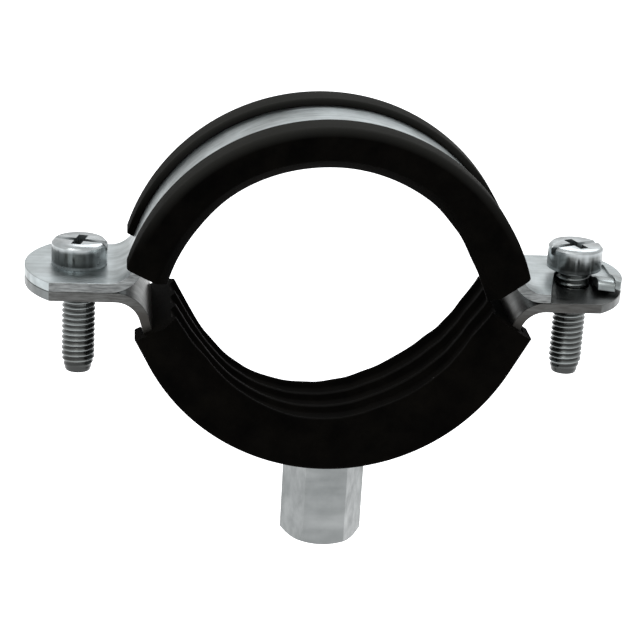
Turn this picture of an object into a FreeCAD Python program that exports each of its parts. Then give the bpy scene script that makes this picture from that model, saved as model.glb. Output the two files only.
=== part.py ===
import FreeCAD, Part
import math
import os
import Sketcher

# Two-screw pipe clamp with a rubber lining and a threaded boss.
# Millimetres, +Z up, pipe axis along Y, origin on the parting plane between
# the two halves. The hinge screw is on the left (-X), the slotted ear on the right.

SIZES = {
    "band_width": 22.0,
    "sheet": 1.7,
    "upper_bore": 29.0,
    "upper_drop": 5.5,
    "upper_shift": -1.0,
    "lower_bore": 28.4,
    "lower_rise": 4.2,
    "lower_shift": -0.1,
    "lower_arc_angle": 62.0,
    "floor": 4.6,
    "lip_height": 1.3,
    "lining_side": 2.25,
    "window_width": 14.0,
    "fit_gap": 0.05,
    "bend_radius": 4.5,
    "left_tip": 9.6,
    "right_tip": 8.7,
    "left_tip_spread": 4.2,
    "right_tip_spread": 2.6,
    "groove_depth": 0.9,
    "land_width": 0.8,
    "rib_offset": 3.3,
    "rib_width": 1.3,
    "mouth_bevel_rise": 2.2,
    "mouth_bevel_depth": 2.9,
    "lip_bevel": 0.7,
    "upper_end_height": 5.1,
    "upper_left_mitre": 26.0,
    "upper_right_mitre": 36.0,
    "lower_left_end_depth": 7.8,
    "lower_right_end_depth": 5.8,
    "lower_left_mitre": 26.0,
    "lower_right_mitre": 30.0,
    "boss_flats": 13.0,
    "boss_length": 19.3,
    "boss_shift": 1.1,
    "boss_chamfer": 0.7,
    "boss_thread_radius": 3.4,
    "boss_thread_depth": 15.0,
    "boss_countersink": 0.8,
    "boss_notch_gap": 0.3,
    "weld_gap": 0.02,
    "screw_radius": 2.95,
    "screw_length": 20.0,
    "screw_tip_length": 2.5,
    "screw_tip_radius": 2.25,
    "head_radius": 4.9,
    "head_clearance": 0.36,
    "head_height": 4.3,
    "head_bevel": 0.5,
    "drive_slot_width": 1.3,
    "drive_slot_depth": 1.6,
    "drive_cross_length": 5.4,
    "drive_cross_width": 1.7,
    "drive_cross_depth": 2.2,
    "left_drive_turn": -14.0,
    "right_drive_turn": 24.0,
    "tapping_gap": 0.05,
    "hinge_hole_gap": 0.35,
    "slot_radius": 3.4,
    "slot_flare": 13.0,
    "tab_front": 5.9,
    "tab_round": 1.2,
    "rim_height": 0.6,
    "rim_width": 0.85,
    "rim_lap": 0.7,
    "rim_step": 4.6,
    "rim_slant": 2.2,
    "slot_screw_rise": 1.6,
}

CUT_MARGIN = 2.0


class Measure:
    """A size that carries its number and the expression that gives it."""

    def __init__(self, number, text):
        self.number = float(number)
        self.text = text

    def join(self, other, sign, number):
        return Measure(number, "(" + self.text + " " + sign + " " + other.text + ")")

    def __add__(self, other):
        other = measure(other)
        return self.join(other, "+", self.number + other.number)

    def __sub__(self, other):
        other = measure(other)
        return self.join(other, "-", self.number - other.number)

    def __mul__(self, other):
        other = measure(other)
        return self.join(other, "*", self.number * other.number)

    def __truediv__(self, other):
        other = measure(other)
        return self.join(other, "/", self.number / other.number)


def measure(item):
    """A plain number or the name of a size, as a Measure."""
    if isinstance(item, Measure):
        return item
    if isinstance(item, str):
        return Measure(SIZES[item], "sizes." + item)
    return Measure(item, repr(float(item)))


def root(item):
    return Measure(math.sqrt(item.number), "sqrt(" + item.text + ")")


def sine(item):
    return Measure(math.sin(math.radians(item.number)), "sin(" + item.text + ")")


def cosine(item):
    return Measure(math.cos(math.radians(item.number)), "cos(" + item.text + ")")


def size_of(item):
    """The item without its sign."""
    return Measure(abs(item.number), "abs(" + item.text + ")")


def larger(first, second):
    text = "max(" + first.text + "; " + second.text + ")"
    return Measure(max(first.number, second.number), text)


ZERO = measure(0.0)
ONE = measure(1.0)


def make_sheet(doc):
    sheet = doc.addObject("Spreadsheet::Sheet", "sizes")
    for row, name in enumerate(SIZES, start=1):
        sheet.set("A" + str(row), name)
        sheet.set("B" + str(row), str(SIZES[name]))
        sheet.setAlias("B" + str(row), name)
    doc.recompute()
    return sheet


def make_body(doc, name):
    body = doc.addObject("PartDesign::Body", name)
    body.Label = name
    return body


def make_sketch(body, name, role, lift=None):
    """A sketch on one of the body's origin planes, lifted off it along its normal."""
    planes = [item for item in body.Origin.OriginFeatures if item.Role == role]
    sketch = body.newObject("Sketcher::SketchObject", name)
    sketch.AttachmentSupport = [(planes[0], "")]
    sketch.MapMode = "FlatFace"
    if lift is not None:
        sketch.setExpression("AttachmentOffset.Base.z", lift.text)
    return sketch


def hold(sketch, kind, place, size):
    """Adds a dimension and binds it to its expression."""
    index = sketch.addConstraint(Sketcher.Constraint(kind, *place, size.number))
    sketch.setExpression("Constraints[" + str(index) + "]", size.text)


def make_edge(sketch, start, end, centre):
    """A line, or an arc about centre. Returns its index and the ends it starts and stops at."""
    first = FreeCAD.Vector(start[0].number, start[1].number, 0)
    last = FreeCAD.Vector(end[0].number, end[1].number, 0)
    if centre is None:
        return sketch.addGeometry(Part.LineSegment(first, last), False), 1, 2
    middle = FreeCAD.Vector(centre[0].number, centre[1].number, 0)
    from_centre = first - middle
    to_centre = last - middle
    circle = Part.Circle(middle, FreeCAD.Vector(0, 0, 1), from_centre.Length)
    start_angle = math.atan2(from_centre.y, from_centre.x)
    end_angle = math.atan2(to_centre.y, to_centre.x)
    if from_centre.cross(to_centre).z > 0:
        return sketch.addGeometry(Part.ArcOfCircle(circle, start_angle, end_angle), False), 1, 2
    return sketch.addGeometry(Part.ArcOfCircle(circle, end_angle, start_angle), False), 2, 1


def draw_outline(sketch, corners, arcs=None):
    """A closed outline. arcs maps an edge's number to its centre and radius."""
    arcs = arcs or {}
    edges = []
    for number, corner in enumerate(corners):
        centre = arcs[number][0] if number in arcs else None
        following = corners[(number + 1) % len(corners)]
        edges.append(make_edge(sketch, corner, following, centre))
    for number, (edge, _, stop) in enumerate(edges):
        next_edge, next_start, _ = edges[(number + 1) % len(edges)]
        sketch.addConstraint(Sketcher.Constraint("Coincident", edge, stop, next_edge, next_start))
    for number, (edge, start, _) in enumerate(edges):
        hold(sketch, "DistanceX", (edge, start), corners[number][0])
        hold(sketch, "DistanceY", (edge, start), corners[number][1])
        if number in arcs:
            hold(sketch, "Radius", (edge,), arcs[number][1])


def draw_circle(sketch, centre, radius):
    middle = FreeCAD.Vector(centre[0].number, centre[1].number, 0)
    circle = Part.Circle(middle, FreeCAD.Vector(0, 0, 1), radius.number)
    edge = sketch.addGeometry(circle, False)
    hold(sketch, "DistanceX", (edge, 3), centre[0])
    hold(sketch, "DistanceY", (edge, 3), centre[1])
    hold(sketch, "Radius", (edge,), radius)


def add_feature(body, kind, name, profile):
    feature = body.newObject("PartDesign::" + kind, name)
    feature.Profile = profile
    return feature


def pad(body, name, sketch, length, symmetric=False):
    feature = add_feature(body, "Pad", name, sketch)
    if symmetric:
        feature.SideType = "Symmetric"
    feature.setExpression("Length", length.text)
    return feature


def cut_through(body, name, sketch):
    """Removes the sketch's area all the way through, on both sides of its plane."""
    feature = add_feature(body, "Pocket", name, sketch)
    feature.SideType = "Symmetric"
    feature.Type = "ThroughAll"
    return feature


def cut_depth(body, name, sketch, depth, upward=False):
    """Removes the sketch's area to a depth below its plane, or above it."""
    feature = add_feature(body, "Pocket", name, sketch)
    feature.Reversed = upward
    feature.setExpression("Length", depth.text)
    return feature


def edges_where(feature, test):
    """Names of the feature's edges that pass the test."""
    shape_edges = enumerate(feature.Shape.Edges, start=1)
    return ["Edge" + str(number) for number, edge in shape_edges if test(edge)]


class Half:
    """Radii and places of one clamp half, from the lining's bore outwards."""

    def __init__(self, bore, centre_offset, shift, sign):
        self.sign = sign
        self.bore = measure(bore)
        self.offset = measure(centre_offset)
        self.shift = measure(shift)
        self.inner = self.bore + "floor"
        self.outer = self.inner + "sheet"
        self.lip = self.outer + "lip_height"
        self.centre = (self.shift, self.height(ZERO - self.offset))
        self.bend_height = measure("sheet") + "bend_radius"
        span = self.outer + "bend_radius"
        rise = self.bend_height + self.offset
        self.bend_reach = root(span * span - rise * rise)
        self.bend_share_x = self.bend_reach / span
        self.bend_share_z = rise / span

    def height(self, item):
        """A height measured from the parting plane into this half."""
        return measure(item) * self.sign

    def on_circle(self, radius, side):
        """The point at which a circle of the half meets the line to the bend's centre."""
        across = radius * self.bend_share_x * side
        return (self.shift + across, self.height(radius * self.bend_share_z - self.offset))

    def at_height(self, radius, height):
        """How far from its centre line a circle is at a height above the parting plane."""
        rise = measure(height) + self.offset
        return root(radius * radius - rise * rise)


UPPER = Half("upper_bore", "upper_drop", "upper_shift", 1.0)
LOWER = Half("lower_bore", "lower_rise", "lower_shift", -1.0)

# The screws stand just clear of the wider half's bends, so that their heads lie flat.
WIDER_BEND = larger(
    UPPER.bend_reach + size_of(UPPER.shift),
    LOWER.bend_reach + size_of(LOWER.shift),
)
SCREW_REACH = WIDER_BEND + "head_radius" + "head_clearance"


def draw_strip(sketch, half, grow):
    """The side view of a formed strip: ear, bend, arc, bend, ear, grown all round."""
    top = half.height(measure("sheet") + grow)
    bottom = half.height(ZERO - grow)
    right_end = SCREW_REACH + "right_tip" + grow
    left_end = (SCREW_REACH + "left_tip" + grow) * -1.0
    right_reach = half.shift + half.bend_reach
    left_reach = half.shift - half.bend_reach
    outer = half.outer + grow
    inner = half.inner - grow
    hollow = measure("bend_radius") - grow
    round_side = measure("bend_radius") + "sheet" + grow
    right_bend = (right_reach, half.height(half.bend_height))
    left_bend = (left_reach, half.height(half.bend_height))
    corners = [
        (right_end, top),
        (right_reach, top),
        half.on_circle(outer, 1.0),
        half.on_circle(outer, -1.0),
        (left_reach, top),
        (left_end, top),
        (left_end, bottom),
        (left_reach, bottom),
        half.on_circle(inner, -1.0),
        half.on_circle(inner, 1.0),
        (right_reach, bottom),
        (right_end, bottom),
    ]
    arcs = {
        1: (right_bend, hollow),
        2: (half.centre, outer),
        3: (left_bend, hollow),
        7: (left_bend, round_side),
        8: (half.centre, inner),
        9: (right_bend, round_side),
    }
    draw_outline(sketch, corners, arcs)


def tip_radius(tip_name):
    """The arc of an ear's end: half the strip's width and how much flatter the arc is."""
    return measure("band_width") / 2.0 + (tip_name + "_spread")


def end_corner(tip, radius, across):
    """Where the rounded end of an ear is, at a distance across from its middle line."""
    return tip - radius + root(radius * radius - across * across)


def round_ear_end(body, tip_name, side):
    """Cuts the end of an ear to its shallow arc."""
    tip = SCREW_REACH + tip_name
    radius = tip_radius(tip_name)
    across = measure("band_width") / 2.0 + 1.0
    corner = end_corner(tip, radius, across)
    beyond = tip + CUT_MARGIN
    centre = ((tip - radius) * side, ZERO)
    sketch = make_sketch(body, tip_name + "_outline", "XY_Plane")
    corners = [
        (corner * side, across),
        (corner * side, across * -1.0),
        (beyond * side, across * -1.0),
        (beyond * side, across),
    ]
    draw_outline(sketch, corners, {0: (centre, radius)})
    return cut_through(body, tip_name + "_cut", sketch)


def make_strip_body(doc, name, half):
    """A formed strip with rounded ear ends."""
    body = make_body(doc, name)
    sketch = make_sketch(body, name + "_profile", "XZ_Plane")
    draw_strip(sketch, half, ZERO)
    pad(body, name + "_strip", sketch, measure("band_width"), symmetric=True)
    round_ear_end(body, "left_tip", -1.0)
    round_ear_end(body, "right_tip", 1.0)
    return body


def make_band_space(doc, name, half):
    """The room that a strip takes in its lining, with the fit's gap all round."""
    body = make_body(doc, name)
    sketch = make_sketch(body, name + "_profile", "XZ_Plane")
    gap = measure("fit_gap")
    draw_strip(sketch, half, gap)
    pad(body, name + "_strip", sketch, measure("band_width") + gap * 2.0, symmetric=True)
    return body


def drill(body, name, across, radius):
    sketch = make_sketch(body, name + "_outline", "XY_Plane")
    draw_circle(sketch, (across, ZERO), radius)
    return cut_through(body, name, sketch)


def cut_ear_slot(body):
    """The side-open slot: straight on the tab's side, flared on the other."""
    axis = SCREW_REACH
    radius = measure("slot_radius")
    flare = measure("slot_flare")
    front = measure("band_width") / 2.0 + CUT_MARGIN
    touch = (axis - radius * cosine(flare), radius * sine(flare))
    mouth = touch[0] - (touch[1] + front) * sine(flare) / cosine(flare)
    corners = [
        (axis + radius, ZERO),
        (axis, radius),
        touch,
        (mouth, front * -1.0),
        (axis + radius, front * -1.0),
    ]
    arcs = {0: ((axis, ZERO), radius), 1: ((axis, ZERO), radius)}
    sketch = make_sketch(body, "ear_slot_outline", "XY_Plane")
    draw_outline(sketch, corners, arcs)
    return cut_through(body, "ear_slot", sketch)


def cut_tab_front(body):
    """Shortens the ear beyond the slot, which leaves a tab behind the screw."""
    axis = SCREW_REACH
    front = measure("tab_front") * -1.0
    beyond = (measure("band_width") / 2.0 + CUT_MARGIN) * -1.0
    end = axis + "right_tip" + CUT_MARGIN
    corners = [(axis, front), (axis, beyond), (end, beyond), (end, front)]
    sketch = make_sketch(body, "tab_front_outline", "XY_Plane")
    draw_outline(sketch, corners)
    return cut_through(body, "tab_front_cut", sketch)


def tab_corner(across):
    """Where the tab's end is, at a distance across from its middle line."""
    return end_corner(SCREW_REACH + "right_tip", tip_radius("right_tip"), across)


def rim_inside():
    return tab_corner(measure("tab_front")) - "rim_width"


def draw_rim(sketch):
    """The L-shaped border of the tab: along its end and along the back edge."""
    tip = SCREW_REACH + "right_tip"
    radius = tip_radius("right_tip")
    half_width = measure("band_width") / 2.0
    front = measure("tab_front")
    inner = rim_inside()
    start = tab_corner(half_width) - "rim_lap"
    corners = [
        (inner, front * -1.0),
        (tab_corner(front), front * -1.0),
        (tab_corner(half_width), half_width),
        (start, half_width),
        (start, measure("rim_step") + "rim_slant"),
        (inner, measure("rim_step")),
    ]
    draw_outline(sketch, corners, {1: ((tip - radius, ZERO), radius)})


def raise_rim(body):
    """Pushes the border of the tab up, so that it stands over the face and is hollow below."""
    top_sketch = make_sketch(body, "rim_top_outline", "XY_Plane", measure("sheet"))
    draw_rim(top_sketch)
    pad(body, "rim_top", top_sketch, measure("rim_height"))
    under_sketch = make_sketch(body, "rim_under_outline", "XY_Plane")
    draw_rim(under_sketch)
    return cut_depth(body, "rim_under", under_sketch, measure("rim_height"), upward=True)


def round_tab_front(body, name, start, end, top):
    """Rounds the tab's front edge over one stretch of it."""
    radius = measure("tab_round")
    front = measure("tab_front") * -1.0
    beyond = front - 1.0
    above = top + 1.0
    corners = [
        (front, top - radius),
        (beyond, top - radius),
        (beyond, above),
        (front + radius, above),
        (front + radius, top),
    ]
    sketch = make_sketch(body, name + "_outline", "YZ_Plane", start)
    draw_outline(sketch, corners, {4: ((front + radius, top - radius), radius)})
    return cut_depth(body, name, sketch, end - start, upward=True)


def round_tab(body):
    """Rounds the front of the tab's face and the front of its rim."""
    axis = SCREW_REACH
    wall = axis + "slot_radius"
    rim = rim_inside()
    face = measure("sheet")
    round_tab_front(body, "tab_round", wall - 0.5, rim, face)
    round_tab_front(body, "rim_round", rim, axis + "right_tip", face + "rim_height")


def make_upper_band(doc):
    body = make_strip_body(doc, "upper_band", UPPER)
    hole = measure("screw_radius") + "hinge_hole_gap"
    drill(body, "hinge_hole", SCREW_REACH * -1.0, hole)
    cut_ear_slot(body)
    cut_tab_front(body)
    raise_rim(body)
    round_tab(body)
    return body


def make_lower_band(doc):
    body = make_strip_body(doc, "lower_band", LOWER)
    hole = measure("screw_radius") + "tapping_gap"
    drill(body, "left_tapped_hole", SCREW_REACH * -1.0, hole)
    drill(body, "right_tapped_hole", SCREW_REACH, hole)
    return body


def draw_lining_section(sketch, half):
    """The channel's section at the top or bottom of its half, open between its lips."""
    edge = measure("band_width") / 2.0 + "lining_side"
    window = measure("window_width") / 2.0
    bore = half.bore
    bore_edge = edge - "mouth_bevel_depth"
    bevel = measure("lip_bevel")
    deep = bore + "groove_depth"
    land = bore_edge - "land_width"
    rib_outer = measure("rib_offset") + measure("rib_width") / 2.0
    rib_inner = measure("rib_offset") - measure("rib_width") / 2.0
    run = measure("groove_depth")
    right = [
        (rib_inner - run, deep),
        (rib_inner, bore),
        (rib_outer, bore),
        (rib_outer + run, deep),
        (land - run, deep),
        (land, bore),
        (bore_edge, bore),
        (edge, bore + "mouth_bevel_rise"),
        (edge, half.lip - bevel),
        (edge - bevel, half.lip),
        (window, half.lip),
        (window, half.inner),
    ]
    left = [(point[0] * -1.0, point[1]) for point in reversed(right)]
    corners = [(across, half.height(radius - half.offset)) for across, radius in right + left]
    draw_outline(sketch, corners)
    start = FreeCAD.Vector(-1, half.centre[1].number, 0)
    end = FreeCAD.Vector(1, half.centre[1].number, 0)
    axis = sketch.addGeometry(Part.LineSegment(start, end), True)
    sketch.addConstraint(Sketcher.Constraint("Horizontal", axis))
    hold(sketch, "DistanceX", (axis, 1), ZERO - ONE)
    hold(sketch, "DistanceX", (axis, 2), ONE)
    hold(sketch, "DistanceY", (axis, 1), half.centre[1])


def sweep_lining(body, name, half, sweep):
    """Turns the channel's section about the axis of its half."""
    sketch = make_sketch(body, name + "_section", "YZ_Plane", half.shift)
    draw_lining_section(sketch, half)
    feature = add_feature(body, "Revolution", name + "_arc", sketch)
    feature.ReferenceAxis = (sketch, ["Axis0"])
    feature.Midplane = True
    feature.setExpression("Angle", sweep.text)
    return feature


def end_face(feature, side):
    """The name of the flat face at one end of the arc."""
    for number, face in enumerate(feature.Shape.Faces, start=1):
        flat = face.Surface.TypeId == "Part::GeomPlane"
        if flat and face.CenterOfMass.x * side > 1.0 and abs(face.normalAt(0, 0).y) < 0.01:
            return "Face" + str(number)
    raise ValueError("no end face on " + feature.Name)


def cut_mitre(body, name, half, side, height, angle):
    """Slants one end of a lining, from the corner of its lip in towards the bore."""
    corner_reach = half.at_height(half.lip, height)
    along = cosine(angle)
    down = sine(angle)
    thickness = half.lip - half.bore
    out = thickness
    inward = thickness * 2.0
    far = thickness * 2.2
    outer = (corner_reach + along * out, height + down * out)
    inner = (corner_reach - along * inward, height - down * inward)
    points = [
        outer,
        inner,
        (inner[0] - down * far, inner[1] - along * far),
        (outer[0] + along * far, outer[1] - down * far - along * far),
    ]
    corners = [(half.shift + across * side, half.height(up)) for across, up in points]
    sketch = make_sketch(body, name + "_outline", "XZ_Plane")
    draw_outline(sketch, corners)
    return cut_through(body, name, sketch)


def fit_to_band(doc, name, blank, space):
    """Takes the room of the strip out of the lining."""
    lining = doc.addObject("Part::Cut", name)
    lining.Label = name
    lining.Base = blank
    lining.Tool = space
    return lining


def make_upper_lining(doc):
    blank = make_body(doc, "upper_lining_blank")
    sweep_lining(blank, "upper_lining", UPPER, measure(160.0))
    height = measure("upper_end_height")
    cut_mitre(blank, "upper_left_end", UPPER, -1.0, height, measure("upper_left_mitre"))
    cut_mitre(blank, "upper_right_end", UPPER, 1.0, height, measure("upper_right_mitre"))
    space = make_band_space(doc, "upper_band_space", UPPER)
    return fit_to_band(doc, "upper_lining", blank, space)


def draw_hexagon(sketch, flats):
    """The boss's hexagon, with two flats facing front and back."""
    half_flats = flats / 2.0
    point = half_flats / cosine(measure(30.0))
    shoulder = point / 2.0
    middle = measure("boss_shift")
    corners = [
        (middle + point, ZERO),
        (middle + shoulder, half_flats),
        (middle - shoulder, half_flats),
        (middle - point, ZERO),
        (middle - shoulder, half_flats * -1.0),
        (middle + shoulder, half_flats * -1.0),
    ]
    draw_outline(sketch, corners)


def cut_boss_notch(body):
    """Opens the lips round the boss."""
    flats = measure("boss_flats") + measure("boss_notch_gap") * 2.0
    start = LOWER.height(LOWER.lip - LOWER.offset + 1.0)
    depth = measure("lip_height") + "sheet" + 2.0
    sketch = make_sketch(body, "boss_notch_outline", "XY_Plane", start)
    draw_hexagon(sketch, flats)
    return cut_depth(body, "boss_notch", sketch, depth, upward=True)


def make_lower_lining(doc):
    """The lower lining: an arc that runs on straight to its two ends."""
    blank = make_body(doc, "lower_lining_blank")
    angle = measure("lower_arc_angle")
    sweep_lining(blank, "lower_lining", LOWER, angle * 2.0)
    run = LOWER.lip * cosine(angle)
    for name, side in (("left", -1.0), ("right", 1.0)):
        doc.recompute()
        profile = (blank.Tip, [end_face(blank.Tip, side)])
        pad(blank, "lower_" + name + "_run", profile, run)
    for name, side in (("left", -1.0), ("right", 1.0)):
        depth = measure("lower_" + name + "_end_depth")
        slant = measure("lower_" + name + "_mitre")
        cut_mitre(blank, "lower_" + name + "_end", LOWER, side, depth, slant)
    cut_boss_notch(blank)
    space = make_band_space(doc, "lower_band_space", LOWER)
    return fit_to_band(doc, "lower_lining", blank, space)


def make_boss(doc):
    """The hexagonal coupling nut under the lower band, with its mouth downward."""
    body = make_body(doc, "boss")
    flats = measure("boss_flats")
    band_bottom = LOWER.height(LOWER.outer - LOWER.offset)
    mouth = band_bottom - "boss_length"
    outline = make_sketch(body, "boss_outline", "XY_Plane", mouth)
    draw_hexagon(outline, flats)
    pad(body, "boss_bar", outline, measure("boss_length") + 2.0)

    saddle = make_sketch(body, "saddle_outline", "XZ_Plane")
    draw_circle(saddle, LOWER.centre, LOWER.outer + "weld_gap")
    cut_through(body, "saddle", saddle)

    thread = make_sketch(body, "thread_outline", "XY_Plane", mouth)
    draw_circle(thread, (measure("boss_shift"), ZERO), measure("boss_thread_radius"))
    bore = cut_depth(body, "thread_bore", thread, measure("boss_thread_depth"), upward=True)
    doc.recompute()
    low = mouth.number

    def at_mouth(edge):
        box = edge.BoundBox
        return box.ZLength < 0.001 and abs(box.Center.z - low) < 0.001 and edge.Closed

    countersink = body.newObject("PartDesign::Chamfer", "countersink")
    countersink.Base = (bore, edges_where(bore, at_mouth))
    countersink.setExpression("Size", measure("boss_countersink").text)
    chamfer_corners(body, mouth, flats)
    return body


def chamfer_corners(body, mouth, flats):
    """Turns the hexagon's corners off at the mouth, at thirty degrees."""
    middle = measure("boss_shift")
    inner = flats / 2.0 - 0.1
    outer = flats / 2.0 / cosine(measure(30.0)) + 1.0
    rise = (outer - inner) * sine(measure(30.0)) / cosine(measure(30.0))
    sketch = make_sketch(body, "corner_turning", "XZ_Plane")
    corners = [
        (middle + inner, mouth),
        (middle + outer, mouth + rise),
        (middle + outer, mouth - 1.0),
        (middle + inner, mouth - 1.0),
    ]
    draw_outline(sketch, corners)
    low = FreeCAD.Vector(middle.number, mouth.number - 1.0, 0)
    high = FreeCAD.Vector(middle.number, mouth.number + 1.0, 0)
    axis = sketch.addGeometry(Part.LineSegment(low, high), True)
    sketch.addConstraint(Sketcher.Constraint("Vertical", axis))
    hold(sketch, "DistanceX", (axis, 1), middle)
    hold(sketch, "DistanceY", (axis, 1), mouth - 1.0)
    hold(sketch, "DistanceY", (axis, 2), mouth + 1.0)
    groove = add_feature(body, "Groove", "corner_chamfer", sketch)
    groove.ReferenceAxis = (sketch, ["Axis0"])
    groove.Angle = 360.0
    return groove


def make_screw(doc, name, side, rise, turn):
    """A short screw with a bevelled low head and a slot-and-cross drive."""
    body = make_body(doc, name)
    shank = measure("screw_radius")
    head = measure("head_radius")
    tall = measure("head_height")
    edge = measure("head_bevel")
    tip = measure("screw_tip_radius")
    low = measure("screw_length") * -1.0
    corners = [
        (ZERO, tall),
        (head - edge, tall),
        (head, tall - edge),
        (head, ZERO),
        (shank, ZERO),
        (shank, low + "screw_tip_length"),
        (tip, low),
        (ZERO, low),
    ]
    sketch = make_sketch(body, name + "_profile", "XZ_Plane")
    draw_outline(sketch, corners)
    turned = add_feature(body, "Revolution", name + "_blank", sketch)
    turned.ReferenceAxis = (sketch, ["V_Axis"])
    turned.Angle = 360.0

    slot = make_sketch(body, name + "_slot_outline", "XY_Plane", tall)
    draw_box(slot, head * 2.0 + 1.0, measure("drive_slot_width"))
    cut_depth(body, name + "_slot", slot, measure("drive_slot_depth"))
    cross = make_sketch(body, name + "_cross_outline", "XY_Plane", tall)
    draw_box(cross, measure("drive_cross_width"), measure("drive_cross_length"))
    cut_depth(body, name + "_cross", cross, measure("drive_cross_depth"))

    body.setExpression("Placement.Base.x", (SCREW_REACH * side).text)
    body.setExpression("Placement.Base.z", (measure("sheet") + rise).text)
    body.setExpression("Placement.Rotation.Angle", measure(turn).text)
    return body


def draw_box(sketch, length, width):
    """A rectangle about the sketch's origin."""
    across = length / 2.0
    along = width / 2.0
    corners = [
        (across, along),
        (across * -1.0, along),
        (across * -1.0, along * -1.0),
        (across, along * -1.0),
    ]
    draw_outline(sketch, corners)


def check_and_write(doc, nodes):
    """Stops on any failed object, then writes each piece to its own file."""
    for item in doc.Objects:
        if "Invalid" in item.State or "Error" in item.State:
            raise RuntimeError(item.Name + " failed: " + str(item.State))
    for node in nodes:
        shape = node.Shape
        if shape.isNull() or not shape.isValid():
            raise RuntimeError(node.Label + " has no valid shape")
        print(node.Label, "solids", len(shape.Solids), "volume", round(shape.Volume, 1))
    os.makedirs("parts", exist_ok=True)
    for node in nodes:
        node.Shape.exportStep("parts/" + node.Label + ".step")


def main():
    doc = FreeCAD.newDocument("pipe_clamp")
    make_sheet(doc)
    nodes = [
        make_upper_band(doc),
        make_lower_band(doc),
        make_upper_lining(doc),
        make_lower_lining(doc),
        make_boss(doc),
        make_screw(doc, "left_screw", -1.0, ZERO, "left_drive_turn"),
        make_screw(doc, "right_screw", 1.0, measure("slot_screw_rise"), "right_drive_turn"),
    ]
    doc.recompute()
    check_and_write(doc, nodes)


main()
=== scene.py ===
# %% [markdown]
# # A rubber-lined pipe clamp
# The clamp is two formed strips of zinc-plated steel with rubber linings, a hexagonal boss
# under the lower strip and two short screws through the ears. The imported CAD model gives
# every piece its place and size. This lesson gives the pieces their finishes, and rebuilds
# those that need finer detail than a CAD solid should carry. The screws and the boss get
# their threads, the rubber gets its sag and its rounded corners, the tab beyond the slot gets
# its bent front end, and the sheared steel gets soft edges.

import math

import bmesh
import bpy
from mathutils import Matrix, Vector


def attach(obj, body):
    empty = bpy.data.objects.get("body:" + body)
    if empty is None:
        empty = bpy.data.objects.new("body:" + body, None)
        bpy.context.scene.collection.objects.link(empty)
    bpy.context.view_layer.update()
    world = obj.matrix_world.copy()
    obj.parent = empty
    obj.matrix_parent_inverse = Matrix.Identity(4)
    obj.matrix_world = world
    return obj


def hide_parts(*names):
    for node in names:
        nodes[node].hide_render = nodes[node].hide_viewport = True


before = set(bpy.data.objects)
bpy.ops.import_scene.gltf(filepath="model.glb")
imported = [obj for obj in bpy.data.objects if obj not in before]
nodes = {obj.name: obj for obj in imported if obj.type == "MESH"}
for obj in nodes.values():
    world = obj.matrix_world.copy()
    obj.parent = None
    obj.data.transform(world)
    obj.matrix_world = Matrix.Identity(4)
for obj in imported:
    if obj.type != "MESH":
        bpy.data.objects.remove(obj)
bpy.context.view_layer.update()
MM = 0.001

# %% [markdown]
# ## Sizes in millimetres
# Sizes and places on the clamp are written in millimetres, as on a maker's drawing, and
# turned into metres where Blender takes them. The finishes and the shapes share a few: half
# the strip's width, how far the screws stand from the middle, the heights where their heads
# start, and the centre of the upper arc.

# %% Sizes that the finishes and the shapes share
BAND_HALF = 11.0
SCREW_REACH = 44.3
LEFT_SEAT = 1.7
RIGHT_SEAT = 3.3
UPPER_CENTRE = (-1.0, -5.5)
print("screws", SCREW_REACH, "mm from the middle, heads from", LEFT_SEAT, "and", RIGHT_SEAT)

# %% [markdown]
# ## The camera
# The photograph is a close-up: the camera stands about 37 cm from the clamp, a little to
# the left and 20 degrees above it. Such a short distance makes the front lips clearly
# larger than the back ones. The camera is also turned a little about its own line of
# sight, so the clamp's ears slope down to the right. Its place and aim are in millimetres.

# %% Place the camera
CAMERA_PLACE = Vector((-37.59, -345.27, 119.69)) * MM
CAMERA_AIM = Vector((-1.085, 0.0, -8.079)) * MM
CAMERA_ROLL = math.radians(3.377)
PHOTO_WIDTH = 640
FOCAL_PIXELS = 2053.7
SENSOR_WIDTH = 36.0


def place_camera(place, aim, roll):
    """A camera at place that looks at aim, turned about its line of sight."""
    data = bpy.data.cameras.new("photo_camera")
    data.sensor_width = SENSOR_WIDTH
    data.lens = FOCAL_PIXELS / PHOTO_WIDTH * SENSOR_WIDTH
    data.clip_start = 0.02
    data.clip_end = 20.0
    camera = bpy.data.objects.new("photo_camera", data)
    bpy.context.scene.collection.objects.link(camera)
    forward = (aim - place).normalized()
    right = forward.cross(Vector((0, 0, 1))).normalized()
    up = right.cross(forward)
    turned_right = right * math.cos(roll) + up * math.sin(roll)
    turned_up = up * math.cos(roll) - right * math.sin(roll)
    turn = Matrix((turned_right, turned_up, -forward)).transposed().to_4x4()
    camera.matrix_world = Matrix.Translation(place) @ turn
    return camera


bpy.context.scene.camera = place_camera(CAMERA_PLACE, CAMERA_AIM, CAMERA_ROLL)
bpy.context.scene.view_settings.view_transform = "Standard"
print("lens in mm:", round(bpy.context.scene.camera.data.lens, 1))

# %% [markdown]
# ## The white studio
# The clamp is cut out on pure white in the photograph. The world is white to the camera and
# in reflections, and dimmer as a light, so the object is lit at a plain level. The floor is
# pale too and lies well below the boss, because the clamp hangs on a threaded rod. The
# studio is given in metres.

# %% World, floor and lamps
WORLD_LIGHT = 0.5
FLOOR_HEIGHT = -0.16
FLOOR_SIZE = 6.0


def ray_mask(tree, *kinds):
    """One where a ray is of any of these kinds."""
    path = tree.nodes.new("ShaderNodeLightPath")
    mask = path.outputs[kinds[0]]
    for kind in kinds[1:]:
        either = tree.nodes.new("ShaderNodeMath")
        either.operation = "MAXIMUM"
        tree.links.new(mask, either.inputs[0])
        tree.links.new(path.outputs[kind], either.inputs[1])
        mask = either.outputs[0]
    return mask


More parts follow.
